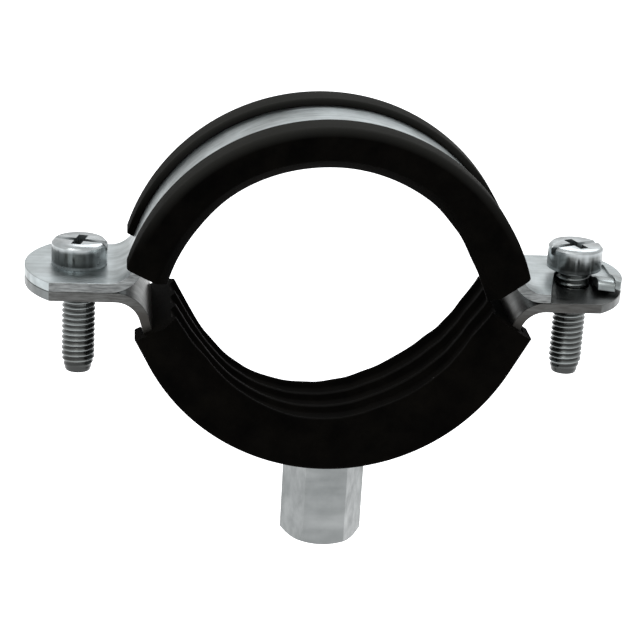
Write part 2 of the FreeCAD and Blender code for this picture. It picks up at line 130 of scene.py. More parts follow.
def make_world():
    """White to the camera and in reflections, and a plain soft light."""
    world = bpy.data.worlds.new("studio")
    bpy.context.scene.world = world
    world.use_nodes = True
    tree = world.node_tree
    tree.nodes.clear()
    lit = tree.nodes.new("ShaderNodeBackground")
    lit.inputs["Color"].default_value = (0.95, 0.97, 1.0, 1.0)
    lit.inputs["Strength"].default_value = WORLD_LIGHT
    white = tree.nodes.new("ShaderNodeBackground")
    white.inputs["Color"].default_value = (1.0, 1.0, 1.0, 1.0)
    seen = tree.nodes.new("ShaderNodeMixShader")
    mask = ray_mask(tree, "Is Camera Ray", "Is Glossy Ray", "Is Transmission Ray")
    tree.links.new(mask, seen.inputs["Fac"])
    tree.links.new(lit.outputs[0], seen.inputs[1])
    tree.links.new(white.outputs[0], seen.inputs[2])
    out = tree.nodes.new("ShaderNodeOutputWorld")
    tree.links.new(seen.outputs[0], out.inputs["Surface"])


def make_floor():
    """A pale floor that looks white and still takes a faint shadow."""
    bm = bmesh.new()
    bmesh.ops.create_grid(bm, x_segments=1, y_segments=1, size=FLOOR_SIZE)
    bmesh.ops.translate(bm, verts=bm.verts, vec=(0, 0, FLOOR_HEIGHT))
    mesh = bpy.data.meshes.new("floor")
    bm.to_mesh(mesh)
    bm.free()
    floor = bpy.data.objects.new("floor", mesh)
    bpy.context.scene.collection.objects.link(floor)
    material = bpy.data.materials.new("floor_paper")
    material.use_nodes = True
    tree = material.node_tree
    shader = tree.nodes["Principled BSDF"]
    shader.inputs["Base Color"].default_value = (0.9, 0.9, 0.9, 1.0)
    shader.inputs["Roughness"].default_value = 0.9
    shader.inputs["Emission Color"].default_value = (1.0, 1.0, 1.0, 1.0)
    seen = ray_mask(tree, "Is Camera Ray", "Is Glossy Ray", "Is Transmission Ray")
    tree.links.new(seen, shader.inputs["Emission Strength"])
    mesh.materials.append(material)


def add_lamp(name, place, size, watts, colour):
    """A rectangular softbox that points at the clamp."""
    data = bpy.data.lights.new(name, "AREA")
    data.shape = "RECTANGLE"
    data.size = size[0]
    data.size_y = size[1]
    data.energy = watts
    data.color = colour
    lamp = bpy.data.objects.new(name, data)
    bpy.context.scene.collection.objects.link(lamp)
    lamp.location = place
    lamp.rotation_mode = "QUATERNION"
    lamp.rotation_quaternion = (-Vector(place)).to_track_quat("-Z", "Y")
    print("lamp", name, "of", watts, "W")


make_world()
make_floor()
add_lamp("key_softbox", (-0.25, -0.35, 0.55), (0.5, 0.4), 2.2, (1.0, 0.99, 0.97))
add_lamp("back_softbox", (0.2, 0.45, 0.5), (0.6, 0.3), 2.0, (0.96, 0.98, 1.0))

# %% [markdown]
# ## Finishes
# There are zinc-plated steels for the strips, the boss and the screws, and one black rubber.
# Two effects are node groups. One is the plate's cloudiness: zinc grows in patches, and
# rolling leaves faint streaks. The other finds the sheared edges of a strip. Each steel gives
# the groups its own colours and sizes, and what belongs to one kind of piece only, such as the
# painted shade on the lower ears, is added in its material. Heights and places are in
# millimetres.

# %% Node helpers
NO_TURN = (0.0, 0.0, 0.0)


def add_noise(tree, vector, scale, detail, rough):
    """A noise around one half."""
    noise = tree.nodes.new("ShaderNodeTexNoise")
    noise.inputs["Scale"].default_value = scale
    noise.inputs["Detail"].default_value = detail
    noise.inputs["Roughness"].default_value = rough
    tree.links.new(vector, noise.inputs["Vector"])
    return noise.outputs["Fac"]


def part_of(tree, place, axis):
    """One of the three coordinates."""
    axes = tree.nodes.new("ShaderNodeSeparateXYZ")
    tree.links.new(place, axes.inputs[0])
    return axes.outputs[axis]


def turned_space(tree, vector, turn, stretch):
    """The coordinates turned and squeezed, for marks that run one way."""
    mapping = tree.nodes.new("ShaderNodeMapping")
    mapping.inputs["Rotation"].default_value = [math.radians(angle) for angle in turn]
    mapping.inputs["Scale"].default_value = stretch
    tree.links.new(vector, mapping.inputs["Vector"])
    return mapping.outputs["Vector"]


def spread(tree, value, low, high, out_low=0.0, out_high=1.0):
    """Stretches a range of a value over another range."""
    node = tree.nodes.new("ShaderNodeMapRange")
    node.inputs["From Min"].default_value = low
    node.inputs["From Max"].default_value = high
    node.inputs["To Min"].default_value = out_low
    node.inputs["To Max"].default_value = out_high
    tree.links.new(value, node.inputs["Value"])
    return node.outputs["Result"]


def spread_mm(tree, value, low, high, out_low=0.0, out_high=1.0):
    """The same for a range in millimetres."""
    return spread(tree, value, low * MM, high * MM, out_low, out_high)


def arithmetic(tree, operation, first, second=0.0):
    """One step of arithmetic on outputs or plain numbers."""
    node = tree.nodes.new("ShaderNodeMath")
    node.operation = operation
    for number, item in enumerate((first, second)):
        if isinstance(item, (int, float)):
            node.inputs[number].default_value = item
        else:
            tree.links.new(item, node.inputs[number])
    return node.outputs["Value"]


def multiply(tree, first, second):
    """A product, the commonest of them."""
    return arithmetic(tree, "MULTIPLY", first, second)


def add_products(tree, first, times_first, second, times_second):
    """The sum of two products."""
    return arithmetic(tree, "ADD", multiply(tree, first, times_first),
                      multiply(tree, second, times_second))


def blend_colour(tree, share, low, high):
    """A colour between two; each is an output or a plain colour."""
    node = tree.nodes.new("ShaderNodeMix")
    node.data_type = "RGBA"
    tree.links.new(share, node.inputs["Factor"])
    for socket, item in ((node.inputs[6], low), (node.inputs[7], high)):
        if isinstance(item, tuple):
            socket.default_value = (*item, 1.0)
        else:
            tree.links.new(item, socket)
    return node.outputs[2]


def new_group(name, inputs, outputs):
    """An empty node group with its sockets, and its input and output nodes."""
    group = bpy.data.node_groups.new(name, "ShaderNodeTree")
    for label, kind in inputs:
        group.interface.new_socket(label, in_out="INPUT", socket_type=kind)
    for label, kind in outputs:
        group.interface.new_socket(label, in_out="OUTPUT", socket_type=kind)
    return group, group.nodes.new("NodeGroupInput"), group.nodes.new("NodeGroupOutput")


# %% [markdown]
# The plate group mixes patches a centimetre wide with streaks that run across the strip at a
# slant, and adds a fine grain. Streaks get their direction from turned and squeezed
# coordinates rather than from a picture, so they fit any length of strip.

# %% Cloudy zinc plate
def build_plate_group():
    """Gives the plate's colour, its roughness and the height of its relief."""
    group, given, result = new_group(
        "zinc_plate_clouds",
        [("Vector", "NodeSocketVector"), ("Bright", "NodeSocketColor"),
         ("Dull", "NodeSocketColor"), ("Smooth", "NodeSocketFloat")],
        [("Color", "NodeSocketColor"), ("Roughness", "NodeSocketFloat"),
         ("Height", "NodeSocketFloat")],
    )
    place = given.outputs["Vector"]
    patches = add_noise(group, place, 95.0, 4.0, 0.6)
    slanted = turned_space(group, place, (0.0, 24.0, 38.0), (70.0, 760.0, 380.0))
    streaks = add_noise(group, slanted, 1.0, 3.0, 0.5)
    grain = add_noise(group, place, 2600.0, 2.0, 0.6)
    cloud = add_products(group, patches, 0.7, streaks, 0.3)
    share = spread(group, cloud, 0.36, 0.64)
    colour = blend_colour(group, share, given.outputs["Dull"], given.outputs["Bright"])
    group.links.new(colour, result.inputs["Color"])
    uneven = spread(group, streaks, 0.3, 0.7, 0.08, -0.06)
    rough = arithmetic(group, "ADD", given.outputs["Smooth"], uneven)
    group.links.new(rough, result.inputs["Roughness"])
    height = add_products(group, grain, 0.35, patches, 0.65)
    group.links.new(height, result.inputs["Height"])
    return group


PLATE_CLOUDS = build_plate_group()
print("node group:", PLATE_CLOUDS.name)

# %% [markdown]
# A sheared edge is rougher and darker than the face of the sheet, and shows fine lines along
# the cut. The strip's edges lie at a fixed distance from its middle line, so the size of the
# Y coordinate tells where they are.

# %% Sheared edges
def build_shear_group():
    """Gives one on a sheared edge, and the lines along it."""
    group, given, result = new_group(
        "sheared_edge",
        [("Vector", "NodeSocketVector"), ("Half Width", "NodeSocketFloat")],
        [("Edge", "NodeSocketFloat"), ("Lines", "NodeSocketFloat")],
    )
    place = given.outputs["Vector"]
    across = arithmetic(group, "ABSOLUTE", part_of(group, place, "Y"))
    depth = arithmetic(group, "SUBTRACT", across, given.outputs["Half Width"])
    edge = spread_mm(group, depth, -0.12, -0.02)
    wide = turned_space(group, place, NO_TURN, (420.0, 420.0, 2600.0))
    lines = add_noise(group, wide, 1.0, 3.0, 0.6)
    group.links.new(edge, result.inputs["Edge"])
    group.links.new(spread(group, lines, 0.35, 0.65), result.inputs["Lines"])
    return group


SHEARED_EDGE = build_shear_group()
print("node group:", SHEARED_EDGE.name)

# %% [markdown]
# The ears and the screws get painted light and shade that depend on the place. The lower ears
# get painted shade where they lie under the upper ones, more on the slotted side, and their
# bends get dark painted shade where they run into the rubber. A screw's head gets painted
# reflections as bands of light on its flank and painted highlights on its rims, and its thread
# gets painted shade at the roots and painted highlights on the crests. Each is a colour mixed
# in by height, or by distance from the axis.

# %% Painted light and shade by place
# Where the painted shade and highlights fade, in millimetres: three by height, one along X,
# two from a screw's axis.
EAR_JOINT = (0.02, 0.2)
EAR_BEND = (-4.0, -1.2)
SHADE_FOOT = (-18.0, -10.0)
SLOTTED_SIDE = (28.0, 40.0)
THREAD_ROOT = (2.75, 2.55)
THREAD_CREST = (2.75, 2.90)
# The shares of plain plate colour that stay under the painted shade on the lower ears and on
# the slotted side.
LOWER_EAR_PLAIN = 0.34
SLOTTED_PLAIN = 0.5
# Colours of the painted light and shade: shade on the strips, shade at the thread's roots,
# highlights on its crests, reflection bands on a head's flank and highlights on its rims.
SHADE_COLOUR = (0.045, 0.043, 0.040)
ROOT_PAINTED_SHADE = (0.045, 0.047, 0.046)
CREST_PAINTED_HIGHLIGHT = (0.26, 0.28, 0.28)
FLANK_PAINTED_REFLECTION = (0.31, 0.33, 0.335)
RIM_PAINTED_HIGHLIGHT = (0.46, 0.49, 0.50)


def strip_shade(tree, place, colour):
    """Shade on the lower ears, more on the slotted side, and most on the bends."""
    level = part_of(tree, place, "Z")
    above = spread_mm(tree, level, *EAR_JOINT)
    plain = spread_mm(tree, level, *EAR_JOINT, LOWER_EAR_PLAIN, 1.0)
    slotted = spread_mm(tree, part_of(tree, place, "X"), *SLOTTED_SIDE, 1.0, SLOTTED_PLAIN)
    plain = multiply(tree, plain, arithmetic(tree, "MAXIMUM", slotted, above))
    plain = multiply(tree, plain, spread_mm(tree, level, *EAR_BEND))
    shade = arithmetic(tree, "SUBTRACT", 1.0, plain)
    shade = multiply(tree, shade, spread_mm(tree, level, *SHADE_FOOT))
    return blend_colour(tree, shade, colour, SHADE_COLOUR)


def thread_shade_and_highlights(tree, place, colour, seat):
    """Painted shade at the roots and painted highlights on the crests of the shank, which lies
    below seat.
    """
    across = arithmetic(tree, "ABSOLUTE", part_of(tree, place, "X"))
    across = arithmetic(tree, "SUBTRACT", across, SCREW_REACH * MM)
    along = part_of(tree, place, "Y")
    reach = arithmetic(tree, "SQRT", add_products(tree, across, across, along, along))
    shank = spread_mm(tree, part_of(tree, place, "Z"), seat, seat - 0.1)
    root = multiply(tree, spread_mm(tree, reach, *THREAD_ROOT), shank)
    crest = multiply(tree, spread_mm(tree, reach, *THREAD_CREST, 0.0, 0.6), shank)
    colour = blend_colour(tree, root, colour, ROOT_PAINTED_SHADE)
    return blend_colour(tree, crest, colour, CREST_PAINTED_HIGHLIGHT)


def screw_light(tree, place, colour, seat):
    """The painted light of a screw: bands of painted reflection on the head's flank, painted
    highlights on its foot and crown, and painted shade and highlights on the thread; seat is
    the height of its head's underside.
    """
    level = part_of(tree, place, "Z")
    head = spread_mm(tree, level, seat - 0.05, seat)
    upright = turned_space(tree, place, NO_TURN, (520.0, 520.0, 60.0))
    bands = spread(tree, add_noise(tree, upright, 1.0, 2.0, 0.55), 0.38, 0.64)
    colour = blend_colour(tree, multiply(tree, bands, head), colour, FLANK_PAINTED_REFLECTION)
    colour = thread_shade_and_highlights(tree, place, colour, seat)
    # Painted highlights on the head's foot and crown.
    foot = multiply(tree, head, spread_mm(tree, level, seat + 0.7, seat + 0.4))
    crown = spread_mm(tree, level, seat + 3.0, seat + 3.6, 0.0, 0.6)
    return blend_colour(tree, arithmetic(tree, "ADD", foot, crown), colour, RIM_PAINTED_HIGHLIGHT)


print("tones by place: the strips' shade, the screws' heads and their threads")

# %% [markdown]
# One function makes every steel. A strip also gets its sheared edges and shade, and a screw
# gets its light.

# %% The plated steels
CUT_DARK = (0.10, 0.105, 0.105)
CUT_BRIGHT = (0.24, 0.25, 0.25)


def start_material(name):
    """A new material, its nodes, its shader and the Object coordinates."""
    material = bpy.data.materials.new(name)
    material.use_nodes = True
    tree = material.node_tree
    place = tree.nodes.new("ShaderNodeTexCoord").outputs["Object"]
    return material, tree, tree.nodes["Principled BSDF"], place


def add_bump(tree, shader, height, strength, depth):
    """Relief of a depth in millimetres."""
    bump = tree.nodes.new("ShaderNodeBump")
    bump.inputs["Strength"].default_value = strength
    bump.inputs["Distance"].default_value = depth * MM
    tree.links.new(height, bump.inputs["Height"])
    tree.links.new(bump.outputs["Normal"], shader.inputs["Normal"])


def make_plated(name, bright, dull, smooth, bump, sheared=False, seat=None):
    """Zinc-plated steel: a strip's if sheared, and a screw's if it has a seat."""
    material, tree, shader, place = start_material(name)
    plate = tree.nodes.new("ShaderNodeGroup")
    plate.node_tree = PLATE_CLOUDS
    tree.links.new(place, plate.inputs["Vector"])
    plate.inputs["Bright"].default_value = (*bright, 1.0)
    plate.inputs["Dull"].default_value = (*dull, 1.0)
    plate.inputs["Smooth"].default_value = smooth
    colour = plate.outputs["Color"]
    rough = plate.outputs["Roughness"]
    if sheared:
        shear = tree.nodes.new("ShaderNodeGroup")
        shear.node_tree = SHEARED_EDGE
        tree.links.new(place, shear.inputs["Vector"])
        shear.inputs["Half Width"].default_value = BAND_HALF * MM
        cut = blend_colour(tree, shear.outputs["Lines"], CUT_DARK, CUT_BRIGHT)
        colour = blend_colour(tree, shear.outputs["Edge"], colour, cut)
        rough = arithmetic(tree, "ADD", rough, multiply(tree, shear.outputs["Edge"], 0.15))
        colour = strip_shade(tree, place, colour)
    if seat is not None:
        colour = screw_light(tree, place, colour, seat)
    tree.links.new(colour, shader.inputs["Base Color"])
    tree.links.new(rough, shader.inputs["Roughness"])
    shader.inputs["Metallic"].default_value = 1.0
    add_bump(tree, shader, plate.outputs["Height"], bump, 0.06)
    return material


ZINC = make_plated(
    "zinc_plated_strip", (0.44, 0.48, 0.49), (0.20, 0.22, 0.22), 0.34, 0.5, sheared=True,
)
BOSS_STEEL = make_plated("satin_zinc_boss", (0.25, 0.26, 0.26), (0.17, 0.18, 0.18), 0.42, 0.7)
SCREW_PLATE = ((0.16, 0.175, 0.175), (0.05, 0.05, 0.046), 0.3, 0.5)
LEFT_SCREW_STEEL = make_plated("zinc_plated_left_screw", *SCREW_PLATE, seat=LEFT_SEAT)
RIGHT_SCREW_STEEL = make_plated("zinc_plated_right_screw", *SCREW_PLATE, seat=RIGHT_SEAT)
STEELS = (ZINC, BOSS_STEEL, LEFT_SCREW_STEEL, RIGHT_SCREW_STEEL)
print("steels:", [item.name for item in STEELS])

# %% [markdown]
# The rubber is black and matt, a little greyer and browner in patches where its bloom has come
# to the surface, and has a fine pebbled skin from the mould. A few pale specks of dust sit on
# it: a cell pattern gives a small dot in each cell, and a noise keeps only a few of them. The
# outer skin of the upper lips gets painted light near the top, which makes it greyer there.

# %% Black rubber
# Where the painted light on the top of the upper lips lies: the reach from the arc's centre
# and the height, in millimetres.
LIP_SKIN = (35.0, 36.8)
LIP_HEIGHT = (8.0, 21.0)


def lip_top_light_mask(tree, place):
    """One on the outermost skin of the upper lips near the top, where light is painted on the
    rubber.
    """
    flat = turned_space(tree, place, NO_TURN, (1.0, 0.0, 1.0))
    moved = tree.nodes.new("ShaderNodeVectorMath")
    moved.operation = "SUBTRACT"
    moved.inputs[1].default_value = (UPPER_CENTRE[0] * MM, 0.0, UPPER_CENTRE[1] * MM)
    tree.links.new(flat, moved.inputs[0])
    reach = tree.nodes.new("ShaderNodeVectorMath")
    reach.operation = "LENGTH"
    tree.links.new(moved.outputs["Vector"], reach.inputs[0])
    skin = spread_mm(tree, reach.outputs["Value"], *LIP_SKIN)
    return multiply(tree, skin, spread_mm(tree, part_of(tree, place, "Z"), *LIP_HEIGHT))


def make_rubber():
    """Matt black rubber with bloom, specks of dust and painted light on the lips' tops."""
    material, tree, shader, place = start_material("matt_black_rubber")
    bloom = spread(tree, add_noise(tree, place, 120.0, 5.0, 0.65), 0.35, 0.7)
    colour = blend_colour(tree, bloom, (0.0013, 0.0012, 0.0011), (0.0044, 0.0039, 0.0032))
    cells = tree.nodes.new("ShaderNodeTexVoronoi")
    cells.inputs["Scale"].default_value = 210.0
    tree.links.new(place, cells.inputs["Vector"])
    rare = spread(tree, add_noise(tree, place, 330.0, 1.0, 0.5), 0.60, 0.64)
    dot = spread(tree, cells.outputs["Distance"], 0.06, 0.035)
    colour = blend_colour(tree, multiply(tree, dot, rare), colour, (0.16, 0.16, 0.17))
    # Painted light makes the top of the upper lips greyer.
    colour = blend_colour(tree, lip_top_light_mask(tree, place), colour, (0.024, 0.024, 0.022))
    tree.links.new(colour, shader.inputs["Base Color"])
    rough = spread(tree, add_noise(tree, place, 60.0, 3.0, 0.6), 0.3, 0.7, 0.5, 0.66)
    tree.links.new(rough, shader.inputs["Roughness"])
    shader.inputs["Specular IOR Level"].default_value = 0.005
    pebble = add_noise(tree, place, 2300.0, 3.0, 0.6)
    ripple = add_noise(tree, place, 260.0, 2.0, 0.5)
    height = arithmetic(tree, "ADD", multiply(tree, pebble, 0.4), ripple)
    add_bump(tree, shader, height, 0.55, 0.1)
    return material


RUBBER = make_rubber()
print("rubber:", RUBBER.name)

# %% [markdown]
# ## Helpers for the pieces
# Every finished piece is one mesh object at the origin, so its patterns of wear and of painted
# light and shade, which read Object coordinates, stay where they are put.

# %% Make an object from a bmesh
CUT_SLACK = 0.0005
MERGE_FINISHED = 0.002
# Faces that meet at less than this many degrees are shaded as one curve.
SMOOTH_RUBBER = 38.0
SMOOTH_STRIP = 30.0
SMOOTH_SCREW = 33.0


def length_mm(*values):
    """A point or vector given in millimetres."""
    return Vector(values) * MM


def eased(share):
    """A share from 0 to 1 that starts and stops softly."""
    return share * share * (3.0 - 2.0 * share)


def only_edges(items):
    """The edges among the items that a bmesh operator gives back."""
    return [item for item in items if isinstance(item, bmesh.types.BMEdge)]


def cut_off(bm, place, away):
    """Drops what lies beyond a plane, on the side of away. Gives the edges of the cut."""
    cut = bmesh.ops.bisect_plane(
        bm, geom=list(bm.verts) + list(bm.edges) + list(bm.faces), dist=CUT_SLACK * MM,
        plane_co=place, plane_no=away, clear_outer=True,
    )
    return only_edges(cut["geom_cut"])


def finish_piece(bm, name, material, smooth_below):
    """Turns a bmesh into a shaded object whose normals point outwards."""
    bmesh.ops.remove_doubles(bm, verts=bm.verts, dist=MERGE_FINISHED * MM)
    bmesh.ops.recalc_face_normals(bm, faces=bm.faces)
    for face in bm.faces:
        face.smooth = True
    mesh = bpy.data.meshes.new(name)
    bm.to_mesh(mesh)
    bm.free()
    mesh.set_sharp_from_angle(angle=math.radians(smooth_below))
    mesh.materials.append(material)
    piece = bpy.data.objects.new(name, mesh)
    bpy.context.scene.collection.objects.link(piece)
    print(name, "faces:", len(mesh.polygons))
    return piece


def stand_in(piece, node, body):
    """The piece is shown in the place of a CAD node and moves with its body."""
    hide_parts(node)
    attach(piece, body)


# %% [markdown]
# ## Two rubber linings
# Each lining is a channel of black rubber, clipped over both edges of its steel strip. Its
# section never changes along the arc, so it is drawn once and turned about the pipe's axis
# with spin. The section has a bevel at each mouth, four lands that grip the pipe with three
# shallow grooves between them, and lips that fold over the strip's edges. Moulded rubber has
# no sharp outer corners, so the corners of the section are rounded before it is turned.

# %% The lining's section
LINING_HALF = BAND_HALF + 2.25
LIP_TOP = 7.6
FLOOR_TOP = 4.55
STRIP_TOP = 6.35
LIP_EDGE = 7.0
STRIP_EDGE = BAND_HALF + 0.05
CORNER_STEPS = 4
CORNER_SHARE = 0.45
SECTION_RIGHT = [
    # across, height over the bore, corner radius
    (1.75, 0.9, 0.3),
    (2.65, 0.0, 0.25),
    (3.95, 0.0, 0.25),
    (4.85, 0.9, 0.4),
    (8.65, 0.9, 0.5),
    (9.55, 0.0, 0.25),
    (10.35, 0.0, 0.3),
    (LINING_HALF, 2.2, 0.7),
    (LINING_HALF, LIP_TOP, 1.1),
    (LIP_EDGE, LIP_TOP, 0.45),
    (LIP_EDGE, STRIP_TOP, 0.12),
    (STRIP_EDGE, STRIP_TOP, 0.1),
    (STRIP_EDGE, FLOOR_TOP, 0.1),
]


def rounded_outline(corners):
    """The closed outline with each corner turned into a short curve."""
    points = []
    for number, (across, high, radius) in enumerate(corners):
        here = Vector((across, high))
        before = Vector(corners[number - 1][:2])
        after = Vector(corners[(number + 1) % len(corners)][:2])
        shortest = min((before - here).length, (after - here).length)
        reach = min(radius, shortest * CORNER_SHARE)
        start = here + (before - here).normalized() * reach
        end = here + (after - here).normalized() * reach
        for step in range(CORNER_STEPS + 1):
            share = step / CORNER_STEPS
            points.append(start.lerp(here, share).lerp(here.lerp(end, share), share))
    return points


SECTION_LEFT = [(-across, high, radius) for across, high, radius in reversed(SECTION_RIGHT)]
LINING_OUTLINE = rounded_outline(SECTION_RIGHT + SECTION_LEFT)
print("points round the lining's section:", len(LINING_OUTLINE))

# %% [markdown]
# The rubber doesn't follow its steel exactly. It is bent from a straight strip, so it bulges
# a little into the bore between the ends, more on one edge than on the other. That sag is
# what makes a real lining look soft. It is given here as a few pairs of an angle in degrees
# from the middle of the arc and a depth in millimetres towards the pipe, for the front and
# the back edge of the bore. Every point of the section moves by its share. The lips stay
# where they are, clipped round the strip.

# %% Sag of the rubber
UPPER_SAG = {
    "front": [(-75, 0.15), (-55, 0.2), (-35, -0.1), (0, 0.1), (35, 0.25), (50, 0.7),
              (62, 1.1), (70, 0.9), (80, 0.4)],
    "back": [(-80, 0.0), (30, 0.0), (55, -0.2), (70, -0.6), (80, -0.7)],
}
LOWER_SAG = {
    "front": [(-75, 0.2), (-66, 0.6), (-52, 1.5), (-34, 1.3), (-10, 1.0), (3, 1.2),
              (23, 1.8), (40, 1.6), (55, 1.3), (66, 1.1), (75, 0.4)],
    "back": [(-75, 0.4), (-60, 0.5), (-47, 0.15), (-34, -0.4), (-26, -0.6), (-14, -0.4),
             (-2, 0.0), (9, 0.5), (20, 1.05), (33, 1.35), (45, 1.2), (54, 0.6), (64, 0.1),
             (75, -0.4)],
}
BORE_HALF = 10.35
FULL_SAG_HEIGHT = 1.0


def read_table(table, place):
    """The value at a place on a line through the table's points, eased at each point."""
    if place <= table[0][0]:
        return table[0][1]
    for (start, low), (end, high) in zip(table, table[1:]):
        if place <= end:
            return low + (high - low) * eased((place - start) / (end - start))
    return table[-1][1]


def within(value, low, high):
    """The value, kept between two limits."""
    return min(max(value, low), high)


def sag_lining(bm, centre, sign, bore, sag):
    """Moves the bore side of the channel towards the pipe."""
    for vert in bm.verts:
        from_centre = vert.co - centre
        across = from_centre.y / MM
        radial = Vector((from_centre.x, 0.0, from_centre.z))
        height = radial.length / MM - bore
        angle = math.degrees(math.atan2(radial.x, radial.z * sign))
        front = read_table(sag["front"], angle)
        back = read_table(sag["back"], angle)
        share = within((across + BORE_HALF) / (2.0 * BORE_HALF), -0.1, 1.1)
        climb = (height - FULL_SAG_HEIGHT) / (FLOOR_TOP - FULL_SAG_HEIGHT)
        depth = (front + (back - front) * share) * within(1.0 - climb, 0.0, 1.0)
        vert.co -= radial.normalized() * depth * MM


print("deepest sag in mm:", max(depth for _, depth in LOWER_SAG["front"]))

# %% [markdown]
# Spin turns the section about the pipe's axis. The arc of the lower strip is the shorter one,
# so its lining runs on straight at both ends, towards the ears. Each end is then cut at a
# slant through the lip's corner and closed. That slant is the mitre of the real lining.

# %% Turn the section into a channel
ARC_STEPS = 84
RUN_STEPS = 8


def run_on(bm, edges, along):
    """Carries an open end on straight, in a few even steps."""
    for _ in range(RUN_STEPS):
        grown = bmesh.ops.extrude_edge_only(bm, edges=edges)["geom"]
        new = [item for item in grown if isinstance(item, bmesh.types.BMVert)]
        edges = [edge for edge in only_edges(grown) if all(end in new for end in edge.verts)]
        bmesh.ops.translate(bm, verts=new, vec=along / RUN_STEPS)


def turn_section(bm, centre, sign, bore, half_angle, run):
    """Spins the section about the pipe's axis; run carries both ends on straight."""
    ring = [
        bm.verts.new(centre + length_mm(0.0, point.x, sign * (bore + point.y)))
        for point in LINING_OUTLINE
    ]
    outline = [bm.edges.new((ring[number - 1], ring[number])) for number in range(len(ring))]
    start_turn = Matrix.Rotation(-half_angle, 3, "Y")
    bmesh.ops.rotate(bm, verts=ring, cent=centre, matrix=start_turn)
    turned = bmesh.ops.spin(
        bm, geom=ring + outline, cent=centre, axis=(0, 1, 0), dvec=(0, 0, 0),
        angle=2.0 * half_angle, steps=ARC_STEPS, use_duplicate=False,
    )
    if run > 0.0:
        last = only_edges(turned["geom_last"])
        for edges, turn in ((outline, -half_angle), (last, half_angle)):
            outward = length_mm(sign * math.copysign(run, turn), 0.0, 0.0)
            run_on(bm, edges, Matrix.Rotation(turn, 3, "Y") @ outward)


# %% Cut the ends and make both linings
LOWER_CENTRE = (-0.1, 4.2)
UPPER_BORE = 29.0
LOWER_BORE = 28.4
UPPER_TURN = math.radians(80.0)
LOWER_TURN = math.radians(62.0)
LOWER_RUN = (LOWER_BORE + LIP_TOP) * math.cos(LOWER_TURN)
# Height of the lip's corner and slant in degrees, for the left and the right end.
UPPER_ENDS = ((5.1, 26.0), (5.1, 36.0))
LOWER_ENDS = ((-7.8, 26.0), (-5.8, 30.0))


def cut_end(bm, corner, slant, side, sign):
    """Cuts one end along the slant through the lip's corner, and closes it."""
    away = Vector((side * math.sin(slant), 0.0, -sign * math.cos(slant)))
    rim = cut_off(bm, corner, away)
    bmesh.ops.triangle_fill(bm, use_beauty=True, edges=rim, normal=away)


def make_lining(name, shift, rise, sign, bore, ends, sag, half_angle, run):
    """One lining; shift and rise place the centre of its arc, and run is for its ends."""
    bm = bmesh.new()
    centre = length_mm(shift, 0.0, rise)
    turn_section(bm, centre, sign, bore, half_angle, run)
    sag_lining(bm, centre, sign, bore, sag)
    for side, (height, slant) in zip((-1.0, 1.0), ends):
        reach = math.sqrt((bore + LIP_TOP) ** 2 - (height - rise) ** 2)
        corner = length_mm(shift + side * reach, 0.0, height)
        cut_end(bm, corner, math.radians(slant), side, sign)
    return finish_piece(bm, name, RUBBER, SMOOTH_RUBBER)


upper_rubber = make_lining(
    "upper_rubber", *UPPER_CENTRE, 1.0, UPPER_BORE, UPPER_ENDS, UPPER_SAG, UPPER_TURN, 0.0,
)
lower_rubber = make_lining(
    "lower_rubber", *LOWER_CENTRE, -1.0, LOWER_BORE, LOWER_ENDS, LOWER_SAG, LOWER_TURN,
    LOWER_RUN,
)
stand_in(upper_rubber, "upper_lining", "upper_half")
stand_in(lower_rubber, "lower_lining", "lower_half")

# %% [markdown]
# ## Steel strips and boss with softened edges
# The strips and the boss already have the right shape in the CAD model, but their edges are
# perfectly sharp, and real sheared steel catches a line of light along every edge. A copy of
# each CAD mesh is merged into whole faces and gets a small Bevel with hardened normals, so
# that the flat faces stay flat in the light. The strips have very short edges along their
# arcs, so their bevels aren't clamped to the shortest edge.

# %% Copy a CAD piece and soften its edges
MERGE_CAD = 0.001
FLAT_ANGLE = 0.4
BEVEL_FROM = 30.0


def merged_copy(node):
    """A bmesh of a CAD node with its loose triangles joined into whole faces."""
    bm = bmesh.new()
    bm.from_mesh(nodes[node].data)
    bmesh.ops.remove_doubles(bm, verts=bm.verts, dist=MERGE_CAD * MM)
    bmesh.ops.dissolve_limit(
        bm, angle_limit=math.radians(FLAT_ANGLE), verts=bm.verts, edges=bm.edges,
        use_dissolve_boundaries=False,
    )
    return bm


def soften(piece, width, clamp):
    """A small bevel along the sharp edges."""
    bevel = piece.modifiers.new("soft_edges", "BEVEL")
    bevel.width = width * MM
    bevel.segments = 2
    bevel.limit_method = "ANGLE"
    bevel.angle_limit = math.radians(BEVEL_FROM)
    bevel.harden_normals = True
    bevel.use_clamp_overlap = clamp


# %% [markdown]
# The tab beyond the slot is flat in the CAD model. Here its front end is bent up over a
# dark hollow. The ear is cut across in a few places, so that the sheet has points to bend at,
# and then every point rises by its place along the tab. The rise fades out near the ear's tip.

# %% Bend the tab up
EAR_FROM = 38.0
TAB_CUTS = (-0.6, -1.17, -2.2, -3.3)
TAB_LENGTH = 3.6
TAB_RISE = 0.9
TAB_INNER = 47.6
TAB_OUTER = 52.4
TAB_FADE = 2.4
TAB_MERGE = 0.06


